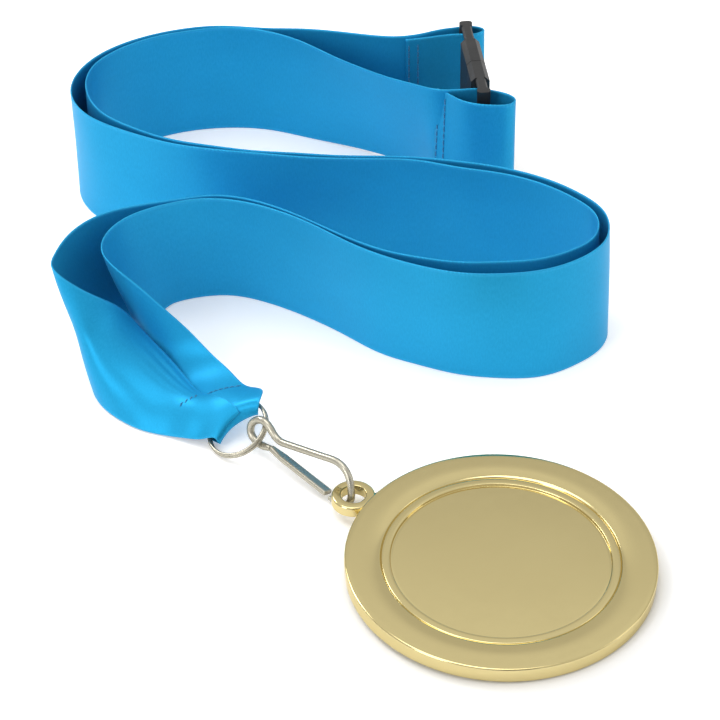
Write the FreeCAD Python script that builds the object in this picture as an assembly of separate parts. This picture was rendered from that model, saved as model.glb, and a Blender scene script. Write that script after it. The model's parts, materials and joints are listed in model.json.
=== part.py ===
import FreeCAD, Part
import math
import os

# Award medal on a neck ribbon, laid out on a table. Millimetres, +Z up.
# The ribbon stands on its edge in an S, its V tip lies down around a split
# ring, and a bent wire snap hook joins the ring to the medal's eyelet.

V = FreeCAD.Vector
UP = V(0, 0, 1)

# --- medal ---
medal_radius = 32.5
medal_thick = 3.5
rim_round = 0.6
border_inner_r = 26.2        # flat border ends here and dips to the outer line
outer_line_r = 24.9
inner_line_r = 22.95         # edge of the centre recess
band_level = 3.05
groove_level = 2.8
recess_level = 2.6
eyelet_reach = 36.4          # medal centre to eyelet hole centre
eyelet_outer_r = 4.7
eyelet_hole_r = 2.7
eyelet_low, eyelet_high = 0.45, 3.05
medal_centre = V(-0.4, -0.65, 0)
medal_heading = 146.6        # direction of the eyelet from the medal centre
medal_tilt = 1.3             # the eyelet rides on the hook wire

# --- split ring ---
ring_radius = 6.9
ring_wire = 0.8
ring_pitch = 0.84
ring_centre = V(-55.9, 42.4, 4.15)
ring_normal = V(-0.40, -0.26, 0.88)

hook_on_ring = 198.0         # where the ring passes through the hook's eye

# --- wire snap hook, drawn in its own plane (t along, b across) ---
hook_wire_d = 1.6
hook_origin = V(-52.0, 40.3, 5.4)
hook_heading = -43.5
hook_lean = 20.0
nose_level = 1.0             # flat top of the nose tip above the table
gate_pivot = (5.6, -1.9)
gate_end = (23.1, -4.1)
gate_width = 2.0
gate_thick = 0.9

# --- ribbon ---
ribbon_width = 30.0
ribbon_thick = 0.5
tip_gap = 1.45               # tip layers' distance from the ring's plane
loop_rise = 2.3              # the buckle rail lifts the ribbon ends

# --- safety buckle ---
buckle_far_bar = V(-1.0, 161.9, 0)
buckle_near_bar = V(2.0, 131.0, 0)
buckle_low, buckle_high = 0.4, 34.2
bar_thick, bar_wide = 2.2, 3.2
rail_wide = 2.4
body_thick = 4.6
body_far, body_near = 7.4, 25.4      # along the buckle from the far bar
parting = 17.6
tongue_length, tongue_wide, tongue_thick = 8.0, 20.0, 1.8
tongue_clear = 0.15

thread_d = 0.5


def unit(v):
    return V(v).normalize()


def spline(points):
    curve = Part.BSplineCurve()
    curve.interpolate(points)
    return curve.toShape()


def sweep_wire(points, diameter):
    edge = spline(points)
    start = edge.tangentAt(edge.FirstParameter)
    section = Part.Wire([Part.makeCircle(diameter / 2, points[0], start)])
    return Part.Wire([edge]).makePipeShell([section], True, False)


# ---------------------------------------------------------------- medal
def make_medal():
    """Die-cast disc with a stepped face and a flat eyelet on its rim."""
    r, t, f = medal_radius, medal_thick, rim_round
    q = f * (1 - math.sqrt(0.5))
    edges = [
        Part.LineSegment(V(0, 0, 0), V(r - f, 0, 0)),
        Part.Arc(V(r - f, 0, 0), V(r - q, 0, q), V(r, 0, f)),
        Part.LineSegment(V(r, 0, f), V(r, 0, t - f)),
        Part.Arc(V(r, 0, t - f), V(r - q, 0, t - q), V(r - f, 0, t)),
        Part.LineSegment(V(r - f, 0, t), V(border_inner_r, 0, t)),
        Part.Arc(V(border_inner_r, 0, t), V(outer_line_r + 0.55, 0, t - 0.22),
                 V(outer_line_r, 0, groove_level)),
        Part.LineSegment(V(outer_line_r, 0, groove_level), V(outer_line_r - 0.2, 0, band_level)),
        Part.LineSegment(V(outer_line_r - 0.2, 0, band_level), V(inner_line_r + 0.15, 0, band_level)),
        Part.LineSegment(V(inner_line_r + 0.15, 0, band_level), V(inner_line_r, 0, band_level - 0.15)),
        Part.LineSegment(V(inner_line_r, 0, band_level - 0.15), V(inner_line_r, 0, recess_level)),
        Part.LineSegment(V(inner_line_r, 0, recess_level), V(0, 0, recess_level)),
        Part.LineSegment(V(0, 0, recess_level), V(0, 0, 0)),
    ]
    profile = Part.Face(Part.Wire([e.toShape() for e in edges]))
    disc = profile.revolve(V(0, 0, 0), UP, 360)
    height = eyelet_high - eyelet_low
    eyelet = Part.makeCylinder(eyelet_outer_r, height, V(eyelet_reach, 0, eyelet_low))
    eyelet = eyelet.makeFillet(0.35, [e for e in eyelet.Edges if len(e.Vertexes) == 1
                                      and isinstance(e.Curve, Part.Circle)])
    inside_disc = Part.makeCylinder(medal_radius - 2.0, height, V(0, 0, eyelet_low))
    hole = Part.makeCylinder(eyelet_hole_r, medal_thick + 2, V(eyelet_reach, 0, -1))
    medal = disc.fuse(eyelet.cut(inside_disc)).cut(hole).removeSplitter()
    medal.rotate(V(0, 0, 0), V(0, 1, 0), -medal_tilt)
    medal.rotate(V(0, 0, 0), UP, medal_heading)
    medal.translate(medal_centre + UP * (medal_radius * math.sin(math.radians(medal_tilt))))
    return medal.Solids[0]


def medal_normal():
    a, h = math.radians(medal_tilt), math.radians(medal_heading)
    return V(-math.sin(a) * math.cos(h), -math.sin(a) * math.sin(h), math.cos(a))


# ---------------------------------------------------------- split ring
def ring_axes():
    """Unit vectors of the ring: towards the ribbon, sideways, normal."""
    n = unit(ring_normal)
    away = V(-0.70, 0.71, 0)
    out = unit(away - n * away.dot(n))
    return out, n.cross(out), n


def ring_point(angle, height=0.0, radius=ring_radius):
    """Angle in degrees, 0 towards the ribbon, 180 towards the hook."""
    out, side, n = ring_axes()
    a = math.radians(angle)
    return ring_centre + out * (radius * math.cos(a)) + side * (radius * math.sin(a)) + n * height


def ring_tangent(angle):
    out, side, n = ring_axes()
    a = math.radians(angle)
    return side * math.cos(a) - out * math.sin(a)


def make_split_ring():
    """Two turns of round wire; the first turn steps up over its own start."""
    points = []
    start, step, end = -40.0, 28.0, 690.0
    angle = 0.0
    while angle <= end:
        climb = min(max((angle - (360 - step)) / step, 0.0), 1.0)
        climb = climb * climb * (3 - 2 * climb)
        points.append(ring_point(start + angle, ring_pitch * (climb - 0.5)))
        angle += 11.5
    return sweep_wire(points, ring_wire)


# ---------------------------------------------------------------- hook
def hook_axes():
    h, lean = math.radians(hook_heading), math.radians(hook_lean)
    along = V(math.cos(h), math.sin(h), 0)
    level = V(-along.y, along.x, 0)
    across = UP * math.cos(lean) + level * math.sin(lean)
    return along, across, along.cross(across)


def hook_point(t, b, n=0.0):
    along, across, normal = hook_axes()
    return hook_origin + along * t + across * b + normal * n


hook_line = [
    (5.3, -1.95), (2.8, -2.5), (0.5, -2.2), (-1.1, -0.95), (-1.35, 0.55), (-0.5, 2.05),
    (1.3, 2.95), (3.3, 2.6), (5.3, 1.4), (7.2, 0.75), (9.2, 0.95), (12.5, 1.6), (17.0, 2.5),
    (21.0, 3.32), (23.6, 3.65), (26.1, 3.0), (28.1, 1.1), (29.1, -1.1), (29.35, -3.0),
    (28.6, -4.25), (27.0, -4.72), (24.0, -4.72),
]


def make_hook_wire():
    """One bent round wire: eye, back leg, bend and nose with a flat tip."""
    wire = sweep_wire([hook_point(t, b) for t, b in hook_line], hook_wire_d)
    tip = hook_point(20.0, -4.72)
    along, across, normal = hook_axes()
    cutter = Part.makeBox(5.6, 6.0, 3.0, V(0, -3.0, 0))
    heading = FreeCAD.Rotation(UP, hook_heading)
    cutter.Placement = FreeCAD.Placement(V(tip.x, tip.y, nose_level), heading)
    return wire.cut(cutter).Solids[0]


def plate(corners, width):
    """Flat plate drawn in the hook's plane and given a width across it."""
    points = [hook_point(t, b, -width / 2) for t, b in corners]
    face = Part.Face(Part.makePolygon(points + points[:1]))
    return face.extrude(hook_axes()[2] * width)


def make_hook_gate():
    """Flattened springy end of the wire, from the eye to the nose."""
    (t0, b0), (t1, b1) = gate_pivot, gate_end
    length = math.hypot(t1 - t0, b1 - b0)
    dt, db = (t1 - t0) / length, (b1 - b0) / length
    h = gate_thick / 2
    near = (t0 + dt * 0.1, b0 + db * 0.1)
    corners = [(near[0] - db * h, near[1] + dt * h), (t1 - db * h, b1 + dt * h),
               (t1 + db * h, b1 - dt * h), (near[0] + db * h, near[1] - dt * h)]
    blade = plate(corners, gate_width)
    long_edges = [e for e in blade.Edges if e.Length > length - 1]
    return blade.makeChamfer(0.2, long_edges).Solids[0]


# -------------------------------------------------------------- ribbon
def line(start, end):
    curve = Part.BSplineCurve()
    curve.buildFromPoles([start, end], False, 1)
    return curve


def ruled(first, second):
    """Face of straight rulings between two curves with the same knots."""
    surface = Part.BSplineSurface()
    surface.buildFromPolesMultsKnots(
        [list(pair) for pair in zip(first.getPoles(), second.getPoles())],
        first.getMultiplicities(), [2, 2], first.getKnots(), [0.0, 1.0],
        False, False, first.Degree, 1)
    return surface.toShape()


def strip(edges_low, edges_high, thick):
    """Closed thin solid between a low edge line and a high edge line."""
    count = len(edges_low)
    params = [0.0]
    for i in range(1, count):
        middle = (edges_low[i] + edges_high[i]) * 0.5
        before = (edges_low[i - 1] + edges_high[i - 1]) * 0.5
        params.append(params[-1] + (middle - before).Length)
    corners = {"left_low": [], "left_high": [], "right_high": [], "right_low": []}
    for i in range(count):
        j, k = max(i - 1, 0), min(i + 1, count - 1)
        travel = (edges_low[k] + edges_high[k]) - (edges_low[j] + edges_high[j])
        offset = unit((edges_high[i] - edges_low[i]).cross(travel)) * (thick / 2)
        corners["left_low"].append(edges_low[i] + offset)
        corners["left_high"].append(edges_high[i] + offset)
        corners["right_high"].append(edges_high[i] - offset)
        corners["right_low"].append(edges_low[i] - offset)
    curves = []
    for points in corners.values():
        curve = Part.BSplineCurve()
        curve.interpolate(Points=points, Parameters=params)
        curves.append(curve)
    faces = []
    # The four long lines are cut at every third station, so each face is short.
    cuts = params[:-2:3] + [params[-1]]
    for start, end in zip(cuts, cuts[1:]):
        lines = []
        for curve in curves:
            part = curve.copy()
            part.segment(start, end)
            lines.append(part)
        for i in range(4):
            faces.append(ruled(lines[i], lines[(i + 1) % 4]))
    for end in (params[0], params[-1]):
        a, b, c, d = (curve.value(end) for curve in curves)
        faces.append(ruled(line(a, b), line(d, c)))
    shell = Part.Shell(faces)
    shell.sewShape()
    solid = Part.Solid(shell)
    if solid.Volume < 0:
        solid.reverse()
    return solid


def upright(route, before):
    """Edge lines of a ribbon standing on its edge.

    route: (x, y, lean, rise), lean in degrees towards the right of travel,
    rise of the low edge above the table. before: the point travelled from.
    """
    low, high = [], []
    for i, (x, y, lean, rise) in enumerate(route):
        back = before if i == 0 else V(route[i - 1][0], route[i - 1][1], 0)
        ahead = route[min(i + 1, len(route) - 1)]
        travel = unit(V(ahead[0], ahead[1], 0) - back)
        right = V(travel.y, -travel.x, 0)
        a = math.radians(lean)
        half = (UP * math.cos(a) + right * math.sin(a)) * (ribbon_width / 2)
        middle = V(x, y, rise + half.z)
        low.append(middle - half)
        high.append(middle + half)
    return low, high


# Where each leg turns from lying at the tip to standing: edge lines from
# the ring towards the first left turn.
left_tip_low = [(-66.2, 43.8, 2.4), (-70.5, 45.0, 1.3), (-75.5, 47.0, 0.3), (-80.6, 49.6, 0.25),
                (-85.2, 53.6, 0.25), (-88.0, 57.8, 0.25), (-89.4, 62.6, 0.25), (-90.0, 68.0, 0.25),
                (-89.4, 74.4, 0.25), (-87.4, 80.4, 0.25), (-83.8, 86.2, 0.25), (-78.8, 91.4, 0.25)]
left_tip_high = [(-60.1, 49.5, 6.3), (-65.0, 52.6, 7.0), (-68.8, 57.6, 8.0), (-73.0, 63.2, 9.6),
                 (-77.6, 68.2, 11.8), (-81.2, 71.0, 14.8), (-85.0, 70.4, 18.6), (-89.6, 68.4, 23.0),
                 (-95.0, 68.8, 27.2), (-96.8, 74.4, 28.6), (-93.6, 82.0, 29.4), (-86.6, 88.8, 29.9)]
right_tip_low = [(-67.6, 49.4, 1.6), (-69.4, 54.0, 1.0), (-71.5, 59.0, 0.6), (-74.6, 65.0, 0.3),
                 (-77.2, 71.6, 0.25), (-78.6, 78.0, 0.25), (-78.0, 84.2, 0.25), (-76.2, 88.8, 0.25),
                 (-73.8, 92.4, 0.25)]
right_tip_high = [(-56.6, 55.6, 7.4), (-58.4, 59.6, 7.4), (-61.8, 63.4, 8.2), (-67.0, 67.6, 11.8),
                  (-73.0, 69.6, 17.4), (-79.2, 71.0, 23.6), (-86.0, 75.8, 28.2), (-84.8, 83.2, 29.4),
                  (-78.8, 89.0, 29.8)]

# The right leg: front bay, right turn, middle bay, left turn, back bay.
right_route = [
    (-71.0, 93.6, 4, 0), (-61.0, 95.4, 5, 0), (-51.5, 92.6, 5, 0), (-42.2, 87.0, 5, 0),
    (-33.0, 79.5, 5, 0), (-24.0, 72.4, 4, 0), (-15.1, 67.6, 4, 0), (-6.3, 64.3, 3, 0),
    (2.6, 63.2, 1, 0), (11.6, 64.0, 0, 0), (20.9, 68.4, 0, 0), (26.4, 74.0, -1, 0),
    (28.2, 80.4, -2, 0), (27.0, 86.6, -1, 0), (23.2, 92.2, 0, 0), (13.7, 100.3, 0, 0),
    (4.5, 104.6, 0, 0), (-4.7, 107.0, 0, 0), (-14.0, 109.2, 0, 0), (-23.3, 110.0, 0, 0),
    (-42.0, 111.6, 0, 0), (-61.0, 115.2, 0, 0), (-74.0, 119.4, 0, 0), (-82.6, 124.4, 0, 0),
    (-90.2, 131.8, 0, 0), (-94.4, 142.8, 0, 0), (-92.0, 154.1, 0, 0), (-82.8, 163.0, 0, 0),
    (-72.4, 167.4, 0, 0), (-62.0, 168.8, 0, 0), (-51.5, 167.4, 1, 0), (-41.6, 162.8, 4, 0),
    (-30.6, 155.6, 11, 0.4), (-20.3, 148.0, 14, 1.0), (-12.2, 139.9, 9, 1.8),
]
right_loop = [
    (-7.9, 135.4, 3), (-3.2, 134.9, 1), (1.0, 134.8, 0), (5.0, 133.6, 0), (8.4, 131.6, 0),
    (9.5, 129.6, 0), (8.4, 127.9, 0), (5.4, 127.3, 0), (0.8, 127.9, 0), (-3.6, 130.4, 0),
    (-6.6, 133.2, 2), (-9.6, 135.9, 4),
]
# The left leg keeps to the left of the right leg; its distance from it.
left_gap = [1.3, 1.1, 1.1, 1.1, 1.2, 2.0, 3.2, 3.9, 4.3, 4.3, 3.9, 3.0, 2.2, 2.0, 2.2, 2.3, 2.4,
            2.2, 1.4, 1.2, 1.1, 1.3, 1.6, 2.2, 3.4, 3.6, 2.0, 1.2, 1.1, 1.1, 1.3]
left_back = [(-42.0, 167.6, 0, 0), (-32.0, 165.2, 0, 0.4), (-23.5, 162.2, 0, 1.0),
             (-17.0, 160.3, 0, 1.8)]
left_loop = [
    (-12.0, 160.6, 0), (-7.2, 162.5, 0), (-2.6, 163.5, 0), (1.5, 163.6, 0), (3.6, 162.0, 0),
    (1.8, 160.3, 0), (-2.0, 160.1, 0), (-6.6, 160.2, 0), (-11.0, 159.7, 0), (-16.0, 159.3, 0),
]


def left_of(route, gaps):
    """Offset a route to the left of travel by one distance per station."""
    result = []
    for i, gap in enumerate(gaps):
        j, k = max(i - 1, 0), min(i + 1, len(route) - 1)
        travel = unit(V(route[k][0] - route[j][0], route[k][1] - route[j][1], 0))
        x, y, lean, rise = route[i]
        result.append((x - travel.y * gap, y + travel.x * gap, lean, rise))
    return result


def tip_point(distance, across, layer):
    """Point at the tip measured from the ring centre in the ring's plane."""
    out, side, n = ring_axes()
    return ring_centre + out * distance + side * across + n * layer


def on_table(point, level):
    return V(point.x, point.y, level)


def tip_pocket():
    """The right leg's end from its cut edge: under the ring, folded and back over."""
    g = tip_gap
    low = [on_table(tip_point(14.5, 6.0, 0), 0.3), on_table(tip_point(8.0, 5.0, 0), 0.3),
           on_table(tip_point(4.6, 4.5, 0), 0.3), tip_point(2.6, 4.9, -0.8 * g),
           tip_point(1.9, 4.9, 0), tip_point(2.6, 5.1, 0.8 * g),
           tip_point(4.6, 5.8, g), on_table(tip_point(8.0, 6.4, 0), 2.0)]
    high = [on_table(tip_point(14.5, -6.0, 0), 3.0), on_table(tip_point(8.0, -7.0, 0), 3.7),
            tip_point(4.6, -6.6, -g - 0.4), tip_point(0.4, -6.4, -0.8 * g),
            tip_point(-0.4, -6.3, 0), tip_point(0.4, -6.6, 0.8 * g),
            tip_point(4.0, -7.6, g), on_table(tip_point(8.0, -8.0, 0), 7.9)]
    return low, high


def make_right_leg():
    low, high = tip_pocket()
    low += [V(*p) for p in right_tip_low]
    high += [V(*p) for p in right_tip_high]
    loop = [(x, y, lean, loop_rise) for x, y, lean in right_loop]
    more_low, more_high = upright(right_route + loop, (low[-1] + high[-1]) * 0.5)
    return strip(low + more_low, high + more_high, ribbon_thick)


def make_left_leg():
    over = tip_gap + 0.75
    low = [tip_point(2.6, 5.4, over), tip_point(5.0, 6.2, over)] + [V(*p) for p in left_tip_low]
    high = [tip_point(2.6, -0.5, over), tip_point(5.0, -1.5, over)] + [V(*p) for p in left_tip_high]
    loop = [(x, y, lean, loop_rise) for x, y, lean in left_loop]
    route = left_of(right_route, left_gap) + left_back + loop
    more_low, more_high = upright(route, (low[-1] + high[-1]) * 0.5)
    return strip(low + more_low, high + more_high, ribbon_thick)


# ----------------------------------------------------------- stitching
def stitches(path, across, reach, pitch):
    """One thread weaving through the layers along a straight path."""
    start, end = path
    count = int((end - start).Length / pitch)
    points = []
    for i in range(2 * count + 1):
        middle = start + (end - start) * (i / (2.0 * count))
        points.append(middle + across * (reach * (1 if i % 2 else -1)))
    return points


def thread(points):
    """Round thread laid straight from point to point with mitred turns."""
    path = Part.makePolygon(points)
    section = Part.Wire([Part.makeCircle(thread_d / 2, points[0], points[1] - points[0])])
    pipe = Part.BRepOffsetAPI.MakePipeShell(path)
    pipe.setTransitionMode(1)
    pipe.add(section)
    pipe.build()
    pipe.makeSolid()
    return pipe.shape()


def make_tip_stitching():
    """Row of stitches across the tip, through both legs and the folded end."""
    return thread(stitches((V(-67.6, 51.0, 3.1), V(-57.4, 55.2, 5.4)), ring_axes()[2], 2.1, 2.2))


def make_loop_stitching(x, y, heading, gap, span):
    """Two upright rows through the doubled ribbon, joined at the top."""
    a = math.radians(heading)
    along, across = V(math.cos(a), math.sin(a), 0), V(-math.sin(a), math.cos(a), 0)
    low, high = loop_rise + 1.5, loop_rise + ribbon_width - 1.5
    first = V(x, y, 0) - along * (span / 2)
    second = V(x, y, 0) + along * (span / 2)
    up = stitches((first + UP * low, first + UP * high), across, gap, 2.6)
    down = stitches((second + UP * high, second + UP * low), across, gap, 2.6)
    return thread(up + down)


# -------------------------------------------------------------- buckle
def buckle_axes():
    run = buckle_near_bar - buckle_far_bar
    along = unit(run)
    return along, V(-along.y, along.x, 0), run.Length


def buckle_block(start, end, wide, low, high, chamfer):
    """Box along the buckle, centred across it, with its long edges eased."""
    along, across, length = buckle_axes()
    box = Part.makeBox(end - start, wide, high - low, V(start, -wide / 2, low))
    if chamfer:
        box = box.makeChamfer(chamfer, [e for e in box.Edges
                                        if abs(e.tangentAt(e.FirstParameter).x) > 0.99])
    heading = math.degrees(math.atan2(along.y, along.x))
    box.Placement = FreeCAD.Placement(buckle_far_bar, FreeCAD.Rotation(UP, heading))
    return box


def strap_bar(position):
    """Upright bar the ribbon turns around, rounded, between the two rails."""
    bar = buckle_block(position - bar_thick / 2, position + bar_thick / 2, bar_wide,
                       buckle_low, buckle_high, 0)
    upright_edges = [e for e in bar.Edges if abs(e.tangentAt(e.FirstParameter).z) > 0.99]
    return bar.makeFillet(0.9, upright_edges)


def rails(start, end):
    depth = loop_rise - 0.25 - buckle_low
    return [buckle_block(start, end, rail_wide, buckle_low, buckle_low + depth, 0.4),
            buckle_block(start, end, rail_wide, buckle_high - depth, buckle_high, 0.4)]


def make_buckle_socket():
    """Far half: strap bar, two rails and the body that takes the tongue."""
    shape = strap_bar(0)
    for piece in rails(0.3, body_far + 0.4):
        shape = shape.fuse(piece)
    shape = shape.fuse(buckle_block(body_far, parting, body_thick, buckle_low, buckle_high, 1.1))
    middle = (buckle_low + buckle_high) / 2
    half = tongue_wide / 2 + tongue_clear
    pocket = buckle_block(parting - tongue_length - 0.6, parting + 1,
                          tongue_thick + 2 * tongue_clear, middle - half, middle + half, 0)
    return shape.cut(pocket).removeSplitter().Solids[0]


def make_buckle_plug():
    """Near half: tongue, body, two rails and the other strap bar."""
    length = buckle_axes()[2]
    middle = (buckle_low + buckle_high) / 2
    shape = strap_bar(length)
    for piece in rails(body_near - 0.4, length - 0.3):
        shape = shape.fuse(piece)
    shape = shape.fuse(buckle_block(parting + 0.12, body_near, body_thick, buckle_low,
                                    buckle_high, 1.1))
    tongue = buckle_block(parting - tongue_length, parting + 0.6, tongue_thick,
                          middle - tongue_wide / 2, middle + tongue_wide / 2, 0)
    return shape.fuse(tongue).removeSplitter().Solids[0]


node_shapes = {
    "medal": make_medal(),
    "split_ring": make_split_ring(),
    "hook_wire": make_hook_wire(),
    "hook_gate": make_hook_gate(),
    "ribbon_right_leg": make_right_leg(),
    "ribbon_left_leg": make_left_leg(),
    "tip_stitching": make_tip_stitching(),
    "left_loop_stitching": make_loop_stitching(-13.6, 160.1, 2, 0.9, 3.3),
    "right_loop_stitching": make_loop_stitching(-9.2, 136.0, -22, 0.8, 2.2),
    "buckle_socket": make_buckle_socket(),
    "buckle_plug": make_buckle_plug(),
}


# The row's origin is the middle of the underside of everything together.
def mesh_box(shapes):
    points = [p for shape in shapes for p in shape.tessellate(0.05)[0]]
    return [f(getattr(p, axis) for p in points) for f in (min, max) for axis in "xyz"]


x0, y0, z0, x1, y1, z1 = mesh_box(node_shapes.values())
to_origin = V(-(x0 + x1) / 2, -(y0 + y1) / 2, -z0)


def anchor(name, point, axis):
    p = (point + to_origin) * 0.001
    print("%-14s pos %.5f %.5f %.5f axis %.4f %.4f %.4f" % (name, p.x, p.y, p.z, axis.x, axis.y, axis.z))


anchor("split_ring", ring_centre, ring_axes()[2])
anchor("hook", ring_point(hook_on_ring), ring_tangent(hook_on_ring) * -1)
anchor("hook_gate", hook_point(*gate_pivot), hook_axes()[2])
anchor("medal", hook_point(29.3, -2.6), hook_axes()[1])
anchor("medal_back", medal_centre + UP * (medal_radius * math.sin(math.radians(medal_tilt))),
       medal_normal() * -1)
anchor("medal_centre", medal_centre + medal_normal() * recess_level
       + UP * (medal_radius * math.sin(math.radians(medal_tilt))), medal_normal())
anchor("buckle_socket", buckle_far_bar + UP * 17.3, UP)
anchor("buckle_plug", buckle_near_bar + UP * 17.3, buckle_axes()[0])

os.makedirs("parts", exist_ok=True)
for name, shape in node_shapes.items():
    shape.translate(to_origin)
    print("%-22s %s valid %s volume %.1f" % (name, shape.ShapeType, shape.isValid(), shape.Volume))
    shape.exportStep("parts/%s.step" % name)
print("shift", list(to_origin))
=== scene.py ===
import json
import math

import bpy
import numpy as np
from mathutils import Matrix, Vector


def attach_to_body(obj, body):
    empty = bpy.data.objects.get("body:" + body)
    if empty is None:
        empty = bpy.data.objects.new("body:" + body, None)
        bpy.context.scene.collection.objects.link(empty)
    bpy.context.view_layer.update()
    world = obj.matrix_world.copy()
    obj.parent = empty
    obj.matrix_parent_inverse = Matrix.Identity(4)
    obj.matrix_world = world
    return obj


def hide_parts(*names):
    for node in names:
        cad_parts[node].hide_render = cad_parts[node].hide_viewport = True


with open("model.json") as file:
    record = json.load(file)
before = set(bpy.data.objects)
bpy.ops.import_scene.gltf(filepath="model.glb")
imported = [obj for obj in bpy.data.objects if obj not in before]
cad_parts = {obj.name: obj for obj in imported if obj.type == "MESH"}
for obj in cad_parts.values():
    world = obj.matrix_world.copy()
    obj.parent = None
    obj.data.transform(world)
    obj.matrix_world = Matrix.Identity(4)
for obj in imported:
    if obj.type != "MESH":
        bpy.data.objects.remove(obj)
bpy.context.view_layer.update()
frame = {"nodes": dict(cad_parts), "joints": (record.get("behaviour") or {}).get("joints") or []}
MM = 0.001

# Everything below is laid out in millimetres with the medal near the origin;
# the ring's joint says where that layout sits in the frame.
RING_CENTRE = np.array([-55.9, 42.4, 4.15])
RING_NORMAL = np.array([-0.40, -0.26, 0.88])
ring_joint = next(j for j in frame["joints"] if j["child"] == "split_ring")
SHIFT = np.array(ring_joint["pos_m"]) - RING_CENTRE * MM

# The ribbon, and how high its loops at the buckle stand off the floor.
WIDTH, THICK = 30.0, 0.34
LOOP_RISE = 2.3
# In metres, as the ribbon's UV is: how far from the middle line the selvedge begins and
# is full, and the pitch of the weft.
SELVEDGE_FROM_MIDDLE = (0.0141, 0.0145)
WEFT_PITCH = 0.0009


def place(points):
    """Layout millimetres to frame metres."""
    return np.asarray(points, float) * MM + SHIFT


def unit(v):
    """Vector, or each row of an array, at length 1."""
    v = np.asarray(v, float)
    return v / np.linalg.norm(v, axis=-1, keepdims=True)


# ------------------------------------------------------------ materials
def new_material(name):
    """New material with its node tree and its main shader."""
    m = bpy.data.materials.new(name)
    m.use_nodes = True
    return m, m.node_tree, m.node_tree.nodes["Principled BSDF"]


def node(tree, kind, **settings):
    """New shader node; a setting is one of its inputs or else a property."""
    n = tree.nodes.new(kind)
    for key, value in settings.items():
        if key in n.inputs:
            n.inputs[key].default_value = value
        else:
            setattr(n, key, value)
    return n


def set_inputs(shader, values):
    """Plain values for a shader node's inputs, by name."""
    for name, value in values.items():
        shader.inputs[name].default_value = value


def ramp(tree, source, stops):
    """Colour that goes through the (position, colour) stops as source rises."""
    r = tree.nodes.new("ShaderNodeValToRGB")
    elements = r.color_ramp.elements
    for element, (position, colour) in ((elements[0], stops[0]), (elements[1], stops[-1])):
        element.position = position
        element.color = (*colour, 1)
    for position, colour in stops[1:-1]:
        elements.new(position).color = (*colour, 1)
    tree.links.new(source, r.inputs["Fac"])
    return r.outputs["Color"]


def remap(tree, source, from_range, to_range):
    """Value that goes through to_range as source goes through from_range."""
    r = node(tree, "ShaderNodeMapRange")
    set_inputs(r, {"From Min": from_range[0], "From Max": from_range[1],
                   "To Min": to_range[0], "To Max": to_range[1]})
    tree.links.new(source, r.inputs["Value"])
    return r.outputs["Result"]


def arithmetic(tree, operation, first, second=None):
    """One sum on a value; second is another value or a plain number."""
    n = node(tree, "ShaderNodeMath", operation=operation)
    tree.links.new(first, n.inputs[0])
    if isinstance(second, (int, float)):
        n.inputs[1].default_value = second
    elif second is not None:
        tree.links.new(second, n.inputs[1])
    return n.outputs[0]


def colour_mix(tree, factor, first, second, blend="MIX"):
    """Mix of two colours; factor and second are values or plain settings."""
    n = node(tree, "ShaderNodeMix", data_type="RGBA", blend_type=blend)
    named = [i for i in n.inputs if i.type == "RGBA"]
    for socket, value in ((n.inputs["Factor"], factor), (named[0], first), (named[1], second)):
        if isinstance(value, bpy.types.NodeSocket):
            tree.links.new(value, socket)
        else:
            socket.default_value = value
    return next(o for o in n.outputs if o.type == "RGBA")


def noise(tree, at, scale, detail, roughness):
    """Noise pattern over the given coordinates."""
    n = node(tree, "ShaderNodeTexNoise", Scale=scale, Detail=detail, Roughness=roughness)
    tree.links.new(at, n.inputs["Vector"])
    return n.outputs["Fac"]


def bump(tree, height, strength, distance, after=None):
    """Surface normal raised by height, on top of another bump if there is one."""
    b = node(tree, "ShaderNodeBump", Strength=strength, Distance=distance)
    tree.links.new(height, b.inputs["Height"])
    if after:
        tree.links.new(after, b.inputs["Normal"])
    return b.outputs["Normal"]


def grey(v):
    """Neutral colour of one brightness."""
    return (v, v, v)


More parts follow.
